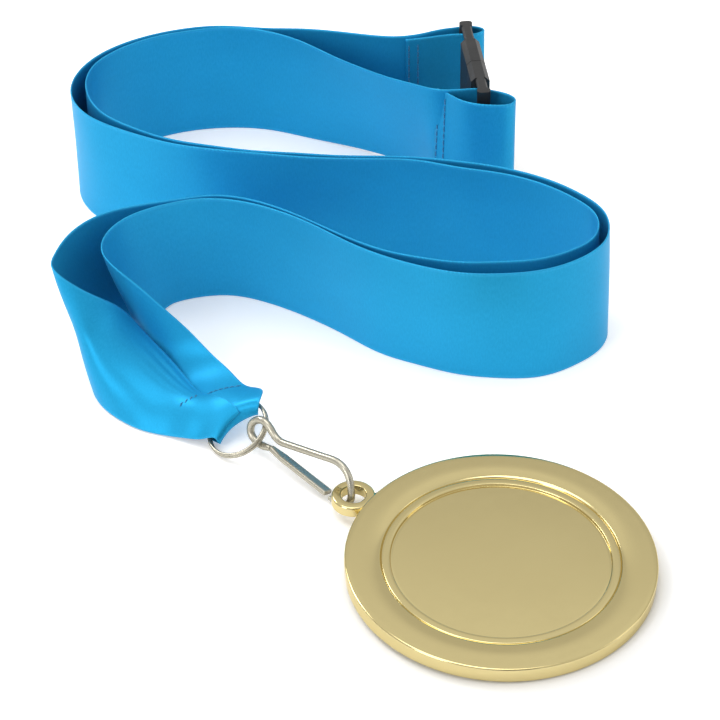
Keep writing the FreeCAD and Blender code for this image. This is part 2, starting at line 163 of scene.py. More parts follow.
def satin_material():
    """Woven satin: UV runs along and across the ribbon, in metres."""
    m, t, s = new_material("ribbon_satin")
    uv = t.nodes.new("ShaderNodeUVMap")
    uv.uv_map = "weave"
    patterns = []
    for scale, detail, roughness in (((2600, 900, 1), 2.0, 0.6), ((70, 110, 1), 3.0, 0.55)):
        stretched = node(t, "ShaderNodeMapping", Scale=scale)
        t.links.new(uv.outputs["UV"], stretched.inputs["Vector"])
        patterns.append(noise(t, stretched.outputs["Vector"], 1.0, detail, roughness))
    threads, cloud = patterns
    split = t.nodes.new("ShaderNodeSeparateXYZ")
    t.links.new(uv.outputs["UV"], split.inputs["Vector"])
    # Distance from the middle line, then a mask of the selvedges.
    from_middle = arithmetic(t, "ABSOLUTE", arithmetic(t, "SUBTRACT", split.outputs["Y"], WIDTH / 2 * MM))
    edge = remap(t, from_middle, SELVEDGE_FROM_MIDDLE, (0.0, 1.0))
    # Ticks where the weft turns back at the selvedge.
    wave = arithmetic(t, "SINE", arithmetic(t, "MULTIPLY", split.outputs["X"], 2 * math.pi / WEFT_PITCH))
    ticks = arithmetic(t, "MULTIPLY", wave, edge)
    weave_colour = ramp(t, threads, [(0.30, (0.016, 0.315, 0.60)), (0.5, (0.018, 0.335, 0.63)),
                                     (0.72, (0.021, 0.355, 0.66))])
    cloud_colour = ramp(t, cloud, [(0.3, grey(0.96)), (0.7, grey(1.0))])
    face = colour_mix(t, 1.0, weave_colour, cloud_colour, "MULTIPLY")
    t.links.new(colour_mix(t, edge, face, (0.028, 0.37, 0.68, 1)), s.inputs["Base Color"])
    t.links.new(remap(t, threads, (0.0, 1.0), (0.34, 0.42)), s.inputs["Roughness"])
    set_inputs(s, {"Metallic": 0.3, "Specular IOR Level": 0.15, "Specular Tint": (0.12, 0.72, 1.0, 1),
                   "Sheen Weight": 0.09, "Sheen Roughness": 0.35, "Sheen Tint": (0.22, 0.65, 1.0, 1)})
    weave = bump(t, threads, 0.10, 0.00008)
    t.links.new(bump(t, ticks, 0.4, 0.00006, weave), s.inputs["Normal"])
    return m


def plated_material(name, dark, light, roughness, spots=420, metallic=1.0,
                    edge=(1.0, 0.95, 0.8)):
    """Plated metal: soft tone drift, faint polishing marks and pinhole wear."""
    m, t, s = new_material(name)
    at = t.nodes.new("ShaderNodeTexCoord").outputs["Object"]
    tone = noise(t, at, 60.0, 3.0, 0.55)
    marks = noise(t, at, 1600.0, 2.0, 0.6)
    wear = noise(t, at, float(spots), 4.0, 0.7)
    t.links.new(ramp(t, tone, [(0.3, dark), (0.7, light)]), s.inputs["Base Color"])
    set_inputs(s, {"Metallic": metallic, "Specular Tint": (*edge, 1)})
    t.links.new(remap(t, wear, (0.35, 0.75), (roughness, roughness + 0.07)), s.inputs["Roughness"])
    t.links.new(bump(t, marks, 0.05, 0.00002), s.inputs["Normal"])
    return m


def thread_material():
    """Sewing thread, a darker blue, with the twist of its plies."""
    m, t, s = new_material("sewing_thread")
    at = t.nodes.new("ShaderNodeTexCoord")
    twist = node(t, "ShaderNodeTexWave", Scale=900.0, Distortion=2.0)
    twist.bands_direction = "DIAGONAL"
    t.links.new(at.outputs["Object"], twist.inputs["Vector"])
    colour = ramp(t, twist.outputs["Fac"], [(0.2, (0.005, 0.15, 0.33)), (0.8, (0.01, 0.22, 0.45))])
    t.links.new(colour, s.inputs["Base Color"])
    set_inputs(s, {"Roughness": 0.6, "Sheen Weight": 0.2})
    t.links.new(bump(t, twist.outputs["Fac"], 0.5, 0.00006), s.inputs["Normal"])
    return m


def plastic_material():
    """Moulded black plastic with a fine grain and faint flow marks."""
    m, t, s = new_material("buckle_plastic")
    at = t.nodes.new("ShaderNodeTexCoord").outputs["Object"]
    grain = noise(t, at, 2400.0, 2.0, 0.5)
    flow = noise(t, at, 140.0, 4.0, 0.6)
    t.links.new(ramp(t, flow, [(0.3, grey(0.012)), (0.7, grey(0.026))]), s.inputs["Base Color"])
    t.links.new(remap(t, flow, (0.0, 1.0), (0.34, 0.55)), s.inputs["Roughness"])
    t.links.new(bump(t, grain, 0.25, 0.00006), s.inputs["Normal"])
    return m


SATIN = satin_material()
GOLD = plated_material("gold_plate", (0.70, 0.585, 0.285), (0.715, 0.60, 0.295), 0.07)
NICKEL = plated_material("nickel_wire", (0.45, 0.425, 0.345), (0.50, 0.475, 0.39), 0.25,
                         spots=300, metallic=0.78, edge=(0.26, 0.245, 0.2))
THREAD = thread_material()
PLASTIC = plastic_material()


# -------------------------------------------------------------- meshes
def mesh_object(name, points, faces, material, uvs=None):
    """Smooth shaded object; uvs has one row for each point."""
    mesh = bpy.data.meshes.new(name)
    mesh.from_pydata([tuple(p) for p in points], [], [tuple(int(i) for i in f) for f in faces])
    mesh.materials.append(material)
    if uvs is not None:
        layer = mesh.uv_layers.new(name="weave")
        index = np.empty(len(mesh.loops), dtype=np.int32)
        mesh.loops.foreach_get("vertex_index", index)
        layer.data.foreach_set("uv", np.asarray(uvs, np.float32)[index].ravel())
    for polygon in mesh.polygons:
        polygon.use_smooth = True
    mesh.validate()
    mesh.update()
    o = bpy.data.objects.new(name, mesh)
    bpy.context.scene.collection.objects.link(o)
    return o


def smooth_line(points, params=None):
    """Natural cubic spline through the points; returns f(u) and the parameters."""
    points = np.asarray(points, float)
    if params is None:
        params = np.r_[0, np.cumsum(np.linalg.norm(np.diff(points, axis=0), axis=1))]
    t = np.asarray(params, float)
    h = np.diff(t)
    n = len(t)
    a = np.zeros((n, n))
    b = np.zeros((n, points.shape[1]))
    a[0, 0] = a[-1, -1] = 1
    for i in range(1, n - 1):
        a[i, i - 1], a[i, i], a[i, i + 1] = h[i - 1], 2 * (h[i - 1] + h[i]), h[i]
        b[i] = 6 * ((points[i + 1] - points[i]) / h[i] - (points[i] - points[i - 1]) / h[i - 1])
    m = np.linalg.solve(a, b)

    def evaluate(u):
        u = np.asarray(u, float)
        i = np.clip(np.searchsorted(t, u, side="right") - 1, 0, n - 2)
        s0, s1, k = (t[i + 1] - u)[:, None], (u - t[i])[:, None], h[i][:, None]
        bend = (m[i] * s0 ** 3 + m[i + 1] * s1 ** 3) / (6 * k)
        return bend + (points[i] / k - m[i] * k / 6) * s0 + (points[i + 1] / k - m[i + 1] * k / 6) * s1
    return evaluate, t


FLATTENING = 0.62   # how much a fully square section takes off the power of a round one


def tube(centre, across, radii_a, radii_b, sides, squareness=None):
    """Closed tube along centre; the section's two radii and shape may change."""
    n = len(centre)
    tangent = unit(np.gradient(centre, axis=0))
    side = unit(across - tangent * np.sum(across * tangent, axis=1, keepdims=True))
    other = np.cross(tangent, side)
    angle = np.arange(sides) * 2 * math.pi / sides
    points = []
    for i in range(n):
        power = 1.0 if squareness is None else 1.0 - FLATTENING * squareness[i]
        c = np.sign(np.cos(angle)) * np.abs(np.cos(angle)) ** power
        s = np.sign(np.sin(angle)) * np.abs(np.sin(angle)) ** power
        points.append(centre[i] + np.outer(c * radii_a[i], side[i]) + np.outer(s * radii_b[i], other[i]))
    points = np.concatenate(points)
    faces = []
    for i in range(n - 1):
        for j in range(sides):
            k = (j + 1) % sides
            faces.append((i * sides + j, i * sides + k, (i + 1) * sides + k, (i + 1) * sides + j))
    faces.append(tuple(range(sides))[::-1])
    faces.append(tuple((n - 1) * sides + j for j in range(sides)))
    return points, faces


def attach(piece, body, node_name):
    """Rides the piece on a body, in place of a CAD node."""
    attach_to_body(piece, body)
    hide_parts(node_name)


# -------------------------------------------------------------- ribbon
def upright(route, before):
    """Low, middle and high lines of ribbon standing on its edge."""
    rows = []
    for i, (x, y, lean, rise) in enumerate(route):
        back = np.array(before[:2]) if i == 0 else np.array(route[i - 1][:2])
        ahead = np.array(route[min(i + 1, len(route) - 1)][:2])
        travel = unit(ahead - back)
        right = np.array([travel[1], -travel[0], 0])
        a = math.radians(lean)
        half = (np.array([0, 0, 1]) * math.cos(a) + right * math.sin(a)) * WIDTH / 2
        middle = np.array([x, y, rise + half[2]])
        rows.append((middle - half, middle, middle + half))
    return rows


def left_of(route, gaps):
    """The route moved to its left by each gap, for the leg that runs beside it."""
    result = []
    for i, gap in enumerate(gaps):
        j, k = max(i - 1, 0), min(i + 1, len(route) - 1)
        travel = unit(np.array(route[k][:2]) - np.array(route[j][:2]))
        x, y, lean, rise = route[i]
        result.append((x - travel[1] * gap, y + travel[0] * gap, lean, rise))
    return result


# Stations of the legs from the first turn to the buckle: x, y, lean in degrees, rise.
RIGHT_ROUTE = [
    (-71.0, 93.6, 4, 0), (-61.0, 95.4, 5, 0), (-51.5, 92.6, 5, 0), (-42.2, 87.0, 5, 0),
    (-33.0, 79.5, 5, 0), (-24.0, 72.4, 4, 0), (-15.1, 67.6, 4, 0), (-6.3, 64.3, 3, 0),
    (2.6, 63.2, 1, 0), (11.6, 64.0, 0, 0), (20.9, 68.4, 0, 0), (26.4, 74.0, -1, 0),
    (28.2, 80.4, -2, 0), (27.0, 86.6, -1, 0), (23.2, 92.2, 0, 0), (13.7, 100.3, 0, 0),
    (4.5, 104.6, 0, 0), (-4.7, 107.0, 0, 0), (-14.0, 109.2, 0, 0), (-23.3, 110.0, 0, 0),
    (-42.0, 111.6, 0, 0), (-61.0, 115.2, 0, 0), (-74.0, 119.4, 0, 0), (-82.6, 124.4, 0, 0),
    (-90.2, 131.8, 0, 0), (-94.4, 142.8, 0, 0), (-92.0, 154.1, 0, 0), (-82.8, 163.0, 0, 0),
    (-72.4, 167.4, 0, 0), (-62.0, 168.8, 0, 0), (-51.5, 167.4, 1, 0), (-41.6, 162.8, 4, 0),
    (-30.6, 155.6, 11, 0.4), (-20.3, 148.0, 14, 1.0), (-12.2, 139.9, 9, 1.8),
]
# Loops round the buckle's bars: x, y, lean.
RIGHT_LOOP = [
    (-7.9, 135.4, 3), (-3.2, 134.9, 1), (1.0, 134.8, 0), (5.0, 133.6, 0), (8.4, 131.6, 0),
    (9.5, 129.6, 0), (8.4, 127.9, 0), (5.4, 127.3, 0), (0.8, 127.9, 0), (-3.6, 130.4, 0),
    (-6.6, 133.2, 2), (-9.6, 135.9, 4),
]
LEFT_GAP = [1.3, 1.1, 1.1, 1.1, 1.2, 2.0, 3.2, 3.9, 4.3, 4.3, 3.9, 3.0, 2.2, 2.0, 2.2, 2.3, 2.4,
            2.2, 1.4, 1.2, 1.1, 1.3, 1.6, 2.2, 3.4, 3.6, 2.0, 1.2, 1.1, 1.1, 1.3]
LEFT_BACK = [
    (-42.0, 167.6, 0, 0), (-32.0, 165.2, 0, 0.4), (-23.5, 162.2, 0, 1.0), (-17.0, 160.3, 0, 1.8),
]
LEFT_LOOP = [
    (-12.0, 160.6, 0), (-7.2, 162.5, 0), (-2.6, 163.5, 0), (1.5, 163.6, 0), (3.6, 162.0, 0),
    (1.8, 160.3, 0), (-2.0, 160.1, 0), (-6.6, 160.2, 0), (-11.0, 159.7, 0), (-16.0, 159.3, 0),
]


def ring_axes():
    """Directions out into the ribbon's fold, along the fold, and out of the ring's plane."""
    n = unit(RING_NORMAL)
    away = np.array([-0.70, 0.71, 0])
    out = unit(away - n * away.dot(n))
    return out, np.cross(n, out), n


def tip_point(distance, across, layer, level=None):
    """Point near the ring, in the ring's own plane; level sets its height instead."""
    out, side, n = ring_axes()
    p = RING_CENTRE + out * distance + side * across + n * layer
    return (p[0], p[1], p[2] if level is None else level)


# Tip sections: low edge, middle and high edge, from the cut end that lies under
# the ring, round the fold, and back over the ring to the first turn.
RIGHT_TIP = [
    (tip_point(14.5, 6.0, 0, 0.3), tip_point(14.5, 0, 0, 1.4), tip_point(14.5, -6.0, 0, 3.0)),
    (tip_point(8.0, 5.0, 0, 0.3), tip_point(8.0, -1.0, 0, 1.8), tip_point(8.0, -7.0, 0, 3.7)),
    (tip_point(4.6, 4.5, 0, 0.3), tip_point(4.6, -1.0, -1.3), tip_point(4.6, -6.4, -1.8)),
    (tip_point(2.4, 4.9, -1.15), tip_point(2.8, 0.0, -1.15), tip_point(0.4, -6.1, -1.2)),
    ((-60.2, 40.1, 2.0), (-56.5, 43.9, 4.5), (-51.4, 44.3, 6.6)),
    ((-60.9, 40.6, 2.8), (-57.2, 44.4, 6.1), (-51.1, 44.5, 9.1)),
    ((-62.8, 42.4, 2.4), (-58.9, 46.6, 6.5), (-50.3, 48.3, 9.4)),
    ((-65.2, 44.6, 2.2), (-61.2, 49.2, 6.2), (-51.6, 51.6, 8.0)),
    ((-68.0, 49.0, 1.6), (-64.2, 52.6, 5.4), (-54.6, 54.0, 7.2)),
    ((-69.4, 54.0, 1.0), (-65.8, 56.8, 4.6), (-57.7, 58.6, 7.2)),
    ((-71.5, 59.0, 0.6), (-68.0, 62.0, 4.8), (-61.8, 63.4, 8.2)),
    ((-74.6, 65.0, 0.3), (-71.2, 66.6, 6.6), (-67.0, 67.6, 11.8)),
    ((-77.2, 71.6, 0.25), (-75.8, 70.4, 9.5), (-73.0, 69.6, 17.4)),
    ((-78.6, 78.0, 0.25), (-79.8, 74.2, 12.0), (-79.2, 71.0, 23.6)),
    ((-78.0, 84.2, 0.25), (-83.0, 79.8, 14.0), (-86.0, 75.8, 28.2)),
    ((-76.2, 88.8, 0.25), (-81.4, 85.8, 15.0), (-84.8, 83.2, 29.4)),
    ((-73.8, 92.4, 0.25), (-76.8, 90.8, 15.0), (-78.8, 89.0, 29.8)),
]
LEFT_TIP = [
    ((-60.4, 39.6, 3.2), (-58.3, 42.4, 5.0), (-55.4, 44.1, 7.0)),
    ((-61.2, 40.1, 3.5), (-59.0, 43.5, 5.9), (-56.4, 45.6, 7.8)),
    ((-63.8, 41.3, 2.2), (-61.6, 45.4, 5.9), (-60.0, 49.3, 7.5)),
    ((-67.4, 42.8, 1.2), (-65.4, 47.4, 6.0), (-63.5, 52.0, 6.3)),
    ((-72.0, 44.8, 0.4), (-69.6, 50.4, 5.6), (-65.8, 55.2, 5.5)),
    ((-77.0, 46.7, 0.3), (-74.0, 53.0, 5.8), (-68.8, 61.1, 5.1)),
    ((-81.4, 49.6, 0.3), (-78.2, 56.0, 7.2), (-73.0, 66.2, 7.0)),
    ((-85.4, 53.6, 0.3), (-82.6, 58.8, 9.2), (-77.6, 70.7, 9.8)),
    ((-88.0, 57.8, 0.3), (-86.8, 60.8, 11.2), (-81.2, 72.1, 13.9)),
    ((-89.4, 62.6, 0.3), (-90.0, 63.2, 13.2), (-85.0, 70.4, 18.6)),
    ((-90.0, 68.0, 0.3), (-92.0, 65.4, 14.6), (-89.6, 68.4, 23.0)),
    ((-89.4, 74.4, 0.3), (-93.6, 68.8, 15.0), (-95.0, 68.8, 27.2)),
    ((-87.4, 80.4, 0.3), (-93.4, 76.0, 15.2), (-96.8, 74.4, 28.6)),
    ((-83.8, 86.2, 0.3), (-89.6, 84.2, 15.2), (-93.6, 82.0, 29.4)),
    ((-78.8, 91.4, 0.3), (-83.4, 90.4, 15.2), (-86.6, 88.8, 29.9)),
]


# Spacing of the surface's points along the ribbon, and how many there are across it.
STEP_ALONG, COLUMNS = 0.75, 41


def band_points(rows):
    """Middle surface of a ribbon from its rows of low, middle and high points."""
    rows = np.array(rows, float)
    middle = rows[:, 1]
    params = np.r_[0, np.cumsum(np.linalg.norm(np.diff(middle, axis=0), axis=1))]
    lines = [smooth_line(rows[:, k], params)[0] for k in range(3)]
    u = np.linspace(0, params[-1], int(params[-1] / STEP_ALONG) + 1)
    low, mid, high = (f(u) for f in lines)
    # Columns are closer together at the two selvedges.
    v = 0.5 - 0.5 * np.cos(np.linspace(0, math.pi, COLUMNS))
    v = 0.55 * v + 0.45 * np.linspace(0, 1, COLUMNS)
    shares = (2 * (v - 0.5) * (v - 1), 4 * v * (1 - v), 2 * v * (v - 0.5))
    grid = sum(line[:, None] * share[None, :, None] for line, share in zip((low, mid, high), shares))
    return grid, u, v


def normals_of(grid):
    """Unit normals of a surface's grid of points."""
    return unit(np.cross(np.gradient(grid, axis=1), np.gradient(grid, axis=0)))


# Selvedge: extra half thickness, its distance from the edge, its spread, and the half
# thickness that is left at the very edge.
SELVEDGE_FULLNESS, SELVEDGE_INSET, SELVEDGE_SPREAD, EDGE_HALF = 0.03, 0.35, 0.25, 0.08


def band_object(name, grid, u, v, body, node_name):
    """Closes the surface into ribbon of real thickness, with fuller selvedges."""
    n, m = grid.shape[:2]
    normal = normals_of(grid)
    edge = np.minimum(v, 1 - v) * WIDTH
    fuller = np.exp(-((edge - SELVEDGE_INSET) / SELVEDGE_SPREAD) ** 2)
    half = np.full(m, THICK / 2) + SELVEDGE_FULLNESS * fuller
    half[0] = half[-1] = EDGE_HALF
    front = grid + normal * half[None, :, None]
    back = grid - normal * half[None, :, None]
    points = np.concatenate([front.reshape(-1, 3), back.reshape(-1, 3)])
    uv = np.stack(np.broadcast_arrays(u[:, None] * MM, v[None, :] * WIDTH * MM), -1).reshape(-1, 2)
    uvs = np.concatenate([uv, uv])
    i, j = np.meshgrid(np.arange(n - 1), np.arange(m - 1), indexing="ij")
    q = (i * m + j).ravel()
    top = np.stack([q, q + 1, q + m + 1, q + m], 1)
    base = n * m
    faces = [top, top[:, ::-1] + base]
    along, crosswise = np.arange(n - 1) * m, np.arange(m - 1)
    # The two selvedges and the two cut ends.
    for near, far in ((along, along + m), (along + 2 * m - 1, along + m - 1),
                      (crosswise + 1, crosswise), (crosswise + base - m, crosswise + base - m + 1)):
        faces.append(np.stack([near, far, far + base, near + base], 1))
    o = mesh_object(name, place(points), np.concatenate(faces), SATIN, uvs)
    attach(o, body, node_name)


def loop_rows(loop):
    """Loop stations at the buckle's height, sinking a little at the sewn end."""
    sinking = [max(0, i - len(loop) + 4) * 0.3 for i in range(len(loop))]
    return [(x, y, lean, LOOP_RISE - sunk) for (x, y, lean), sunk in zip(loop, sinking)]


right_route = RIGHT_ROUTE + loop_rows(RIGHT_LOOP)
left_route = left_of(RIGHT_ROUTE, LEFT_GAP) + LEFT_BACK + loop_rows(LEFT_LOOP)
right_rows = RIGHT_TIP + upright(right_route, RIGHT_TIP[-1][1])
left_rows = LEFT_TIP + upright(left_route, LEFT_TIP[-1][1])


WAVES, WAVE_HEIGHT = 7, 0.35
SMOOTH_NEAR_TIP, SMOOTH_NEAR_BUCKLE = 30.0, 40.0   # lengths over which the waves fade out


def soft_waves(grid, u, v, seed):
    """Slight unevenness of a ribbon that has been folded and carried."""
    rng = np.random.default_rng(seed)
    normal = normals_of(grid)
    wave = np.zeros((len(u), len(v)))
    for _ in range(WAVES):
        length, tilt, phase = rng.uniform(16, 60), rng.uniform(-0.8, 0.8), rng.uniform(0, 2 * math.pi)
        wave += np.sin(2 * math.pi * (u[:, None] / length + tilt * v[None, :]) + phase)
    fade = np.clip(u / SMOOTH_NEAR_TIP, 0, 1) * np.clip((u[-1] - u) / SMOOTH_NEAR_BUCKLE, 0, 1)
    return grid + normal * (wave * fade[:, None] * WAVE_HEIGHT / WAVES)[:, :, None]


# Gathers: height, spacing across the ribbon, reach from its high edge, how gently they
# slant, how much of the edge stays straight, and the place and spread along the ribbon.
GATHER_HEIGHT, GATHER_PITCH, GATHER_REACH = 0.16, 3.1, 8.5
GATHER_SLANT, GATHER_EDGE = 9.0, 0.7
GATHER_AT, GATHER_SPREAD = 21.0, 7.0


def gathers(grid, u, v):
    """Small folds where the left leg is drawn in towards the seam."""
    inward = (1 - v)[None, :] * WIDTH
    folds = np.sin(2 * math.pi * inward / GATHER_PITCH + u[:, None] / GATHER_SLANT)
    near_edge = np.exp(-(inward / GATHER_REACH) ** 2) * (1 - np.exp(-inward / GATHER_EDGE))
    near_seam = np.exp(-((u[:, None] - GATHER_AT) / GATHER_SPREAD) ** 2)
    return grid + normals_of(grid) * (GATHER_HEIGHT * folds * near_edge * near_seam)[:, :, None]


grid_r, u_r, v_r = band_points(right_rows)
grid_l, u_l, v_l = band_points(left_rows)
grid_r = soft_waves(grid_r, u_r, v_r, 3)
grid_l = gathers(soft_waves(grid_l, u_l, v_l, 5), u_l, v_l)
band_object("ribbon_right_leg_satin", grid_r, u_r, v_r, "lanyard", "ribbon_right_leg")
band_object("ribbon_left_leg_satin", grid_l, u_l, v_l, "lanyard", "ribbon_left_leg")


# ------------------------------------------------------------ stitching
STITCH_POINTS, STITCH_SIDES = 9, 10
STITCH_ARCH, STITCH_DIVE = 0.22, 0.12   # height of the arc, and depth of its ends


def stitch_object(name, stitches, radius, node_name):
    """Many separate thread stitches, each a short arc that dives into the cloth."""
    points, faces = [], []
    s = np.linspace(0, 1, STITCH_POINTS)
    rise = np.sin(math.pi * s) * STITCH_ARCH - STITCH_DIVE
    radii = np.full(STITCH_POINTS, radius)
    for start, end, normal in stitches:
        centre = start + np.outer(s, end - start) + np.outer(rise, normal)
        across = np.tile(np.cross(end - start, normal), (STITCH_POINTS, 1))
        p, f = tube(centre, across, radii, radii, STITCH_SIDES)
        offset = sum(len(q) for q in points)
        points.append(p)
        faces += [tuple(i + offset for i in face) for face in f]
    o = mesh_object(name, place(np.concatenate(points)), faces, THREAD)
    attach(o, "lanyard", node_name)


def surface_at(grid, u, v, u_at, v_at):
    """Point and outward normal on the face of a ribbon that shows its seams."""
    i = np.clip(np.searchsorted(u, u_at), 1, len(u) - 2)
    j = np.clip(np.searchsorted(v, v_at), 1, len(v) - 2)
    s = (v_at - v[j - 1]) / (v[j] - v[j - 1])
    point = grid[i, j - 1] * (1 - s) + grid[i, j] * s
    normal = normals_of(grid[i - 1:i + 2, j - 1:j + 2])[1, 1]
    return point + normal * THICK / 2, normal


def seam(grid, u, v, start, end, pitch, fill):
    """Row of stitches between two (along, across) places on a ribbon's face."""
    def at(f):
        return surface_at(grid, u, v, start[0] + (end[0] - start[0]) * f,
                          start[1] + (end[1] - start[1]) * f)

    first, last = (surface_at(grid, u, v, *spot)[0] for spot in (start, end))
    count = max(int(np.linalg.norm(last - first) / pitch), 1)
    row = []
    for k in range(count):
        p0, n0 = at(k / count)
        p1, n1 = at((k + fill) / count)
        row.append((p0, p1, unit(n0 + n1)))
    return row


def nearest(grid, u, v, point):
    """Along and across position of the surface point nearest to a place."""
    d = np.linalg.norm(grid - np.asarray(point, float), axis=2)
    i, j = np.unravel_index(np.argmin(d), d.shape)
    return float(u[i]), float(np.clip(v[j], 0.02, 0.98))


def tip_seam(grid, u, v, start, end):
    """Fine row across the gathered tip, between two places near the surface."""
    ends = nearest(grid, u, v, start), nearest(grid, u, v, end)
    return seam(grid, u, v, *ends, pitch=1.15, fill=0.8)


LOOP_END = 26   # grid rows at the end of a leg that lie on the loop's return


def loop_seam(grid, u, v, places):
    """Upright rows at the ends of a buckle loop, on its outer face."""
    rows = []
    for x, y in places:
        at, _ = nearest(grid[-LOOP_END:], u[-LOOP_END:], v, (x, y, LOOP_RISE + WIDTH / 2))
        rows += seam(grid, u, v, (at, 0.05), (at, 0.95), pitch=1.9, fill=0.82)
    return rows


tip_rows = tip_seam(grid_l, u_l, v_l, (-69.2, 48.9, 6.0), (-64.6, 50.9, 6.8))
tip_rows += tip_seam(grid_r, u_r, v_r, (-63.4, 51.6, 6.8), (-55.0, 53.4, 7.4))
stitch_object("tip_stitches", tip_rows, radius=0.16, node_name="tip_stitching")
left_stitches = loop_seam(grid_l, u_l, v_l, ((-15.6, 159.3), (-13.0, 159.5)))
stitch_object("left_loop_stitches", left_stitches, radius=0.2, node_name="left_loop_stitching")
right_stitches = loop_seam(grid_r, u_r, v_r, ((-8.8, 135.1), (-7.2, 133.8)))
stitch_object("right_loop_stitches", right_stitches, radius=0.18, node_name="right_loop_stitching")


# --------------------------------------------------------------- medal
MEDAL_RADIUS, MEDAL_THICK = 32.5, 3.5
MEDAL_CENTRE = np.array([-0.4, -0.65, 0.0])
MEDAL_HEADING, MEDAL_TILT = math.radians(146.6), math.radians(1.3)
EYELET_REACH = 36.4
DISC_SEGMENTS, EYELET_SEGMENTS = 288, 96
# The web between them: where it starts, its length, its half width at the rim and how
# much narrower it gets, the extra width buried in the rim, and its two faces' heights.
WEB_START, WEB_LENGTH = 31.9, 1.9
WEB_HALF, WEB_NARROWING, WEB_FLARE = 5.3, 3.3, 0.25
WEB_HEIGHTS = (0.62, 2.88)


def medal_place(points):
    """From the medal's own axes, eyelet along +X, to the frame."""
    p = np.asarray(points, float)
    ct, st = math.cos(MEDAL_TILT), math.sin(MEDAL_TILT)
    p = np.stack([p[:, 0] * ct - p[:, 2] * st, p[:, 1], p[:, 0] * st + p[:, 2] * ct], 1)
    ch, sh = math.cos(MEDAL_HEADING), math.sin(MEDAL_HEADING)
    p = np.stack([p[:, 0] * ch - p[:, 1] * sh, p[:, 0] * sh + p[:, 1] * ch, p[:, 2]], 1)
    return place(p + MEDAL_CENTRE + np.array([0, 0, MEDAL_RADIUS * st]))


CORNER_POINTS = 6


def rounded(points, radii):
    """Profile with each corner turned by a small arc-like curve."""
    out = [points[0]]
    for i in range(1, len(points) - 1):
        a, b, c = (np.array(points[i + k], float) for k in (-1, 0, 1))
        r = radii[i]
        if r <= 0:
            out.append(tuple(b))
            continue
        p = b + unit(a - b) * min(r, np.linalg.norm(a - b) * 0.49)
        q = b + unit(c - b) * min(r, np.linalg.norm(c - b) * 0.49)
        for s in np.linspace(0, 1, CORNER_POINTS):
            out.append(tuple((1 - s) ** 2 * p + 2 * s * (1 - s) * b + s * s * q))
    out.append(points[-1])
    return out


def lathe(profile, segments, centre=(0.0, 0.0)):
    """Turns an (r, z) profile about Z; the ends on the axis become fans."""
    points, faces, rings = [], [], []
    for r, z in profile:
        if r < 1e-6:
            rings.append([len(points)])
            points.append((centre[0], centre[1], z))
        else:
            rings.append(list(range(len(points), len(points) + segments)))
            for k in range(segments):
                a = 2 * math.pi * k / segments
                points.append((centre[0] + r * math.cos(a), centre[1] + r * math.sin(a), z))
    for lower, upper in zip(rings, rings[1:]):
        for k in range(segments):
            n = (k + 1) % segments
            if len(lower) == 1:
                faces.append((lower[0], upper[n], upper[k]))
            elif len(upper) == 1:
                faces.append((lower[k], lower[n], upper[0]))
            else:
                faces.append((lower[k], lower[n], upper[n], upper[k]))
    return points, faces


def medal_disc():
    """Blank face with a sunk centre, a raised band between two turned lines, and a border."""
    face = [(0, 2.6), (12, 2.6), (22.5, 2.6), (22.9, 2.56), (23.05, 3.1), (23.4, 3.14), (24.4, 3.14),
            (24.72, 3.1), (24.9, 2.8), (25.1, 3.2), (25.9, 3.4), (27.8, MEDAL_THICK), (31.2, MEDAL_THICK),
            (MEDAL_RADIUS, MEDAL_THICK), (MEDAL_RADIUS, MEDAL_THICK / 2), (MEDAL_RADIUS, 0.0),
            (30.0, 0.0), (12, 0.0), (0, 0.0)]
    radii = [0, 0, 0.25, 0.1, 0.12, 0.2, 0.2, 0.12, 0.08, 0.12, 0.8, 1.6, 0, 0.45, 0, 0.5, 0, 0, 0]
    return lathe(rounded(face, radii)[::-1], DISC_SEGMENTS)


def medal_eyelet():
    """Flat ring with eased edges: hole radius 2.7, outer radius 4.7."""
    section = [(2.7, 0.75), (2.7, 1.6), (2.7, 2.9), (2.85, 3.05), (4.4, 3.05), (4.7, 2.75), (4.7, 1.75),
               (4.7, 0.75), (4.4, 0.45), (2.85, 0.45), (2.7, 0.75)]
    radii = [0, 0, 0.12, 0.12, 0.2, 0.2, 0, 0.2, 0.2, 0.12, 0]
    return lathe(rounded(section, radii)[::-1], EYELET_SEGMENTS, (EYELET_REACH, 0.0))


def medal_web(stations=13):
    """Short web with hollowed sides where the eyelet grows out of the rim."""
    points, faces = [], []
    for i, s in enumerate(np.linspace(0, 1, stations)):
        x = WEB_START + WEB_LENGTH * s
        half = WEB_HALF - WEB_NARROWING * math.sin(s * math.pi / 2) ** 0.9 + (WEB_FLARE if i == 0 else 0)
        for y in (-half, half):
            for z in WEB_HEIGHTS:
                points.append((x, y, z))
    last = 4 * (stations - 1)
    for a in range(0, last, 4):
        faces += [(a, a + 4, a + 5, a + 1), (a + 2, a + 3, a + 7, a + 6),
                  (a + 1, a + 5, a + 7, a + 3), (a, a + 2, a + 6, a + 4)]
    faces += [(0, 1, 3, 2), (last, last + 2, last + 3, last + 1)]
    return points, faces


def make_medal():
    """Disc, eyelet and web as one plated piece."""
    points, faces = [], []
    for more, more_faces in (medal_disc(), medal_eyelet(), medal_web()):
        offset = len(points)
        points += more
        faces += [tuple(i + offset for i in f) for f in more_faces]
    o = mesh_object("medal_plated", medal_place(points), faces, GOLD)
    attach(o, "medal", "medal")


make_medal()


# ------------------------------------------------------- ring and hook
RING_RADIUS, RING_WIRE, RING_END_WIRE = 6.9, 0.4, 0.33
RING_START, RING_STOP = -40.0, 650.0   # degrees round the coil
# Degrees from the start to where one turn climbs to the next, and the climb's length.
RING_STEP_UP, RING_STEP_LENGTH = 332, 28.0
RING_PITCH = 0.84
RING_SIDES, HOOK_SIDES = 24, 40        # points round the wire of each


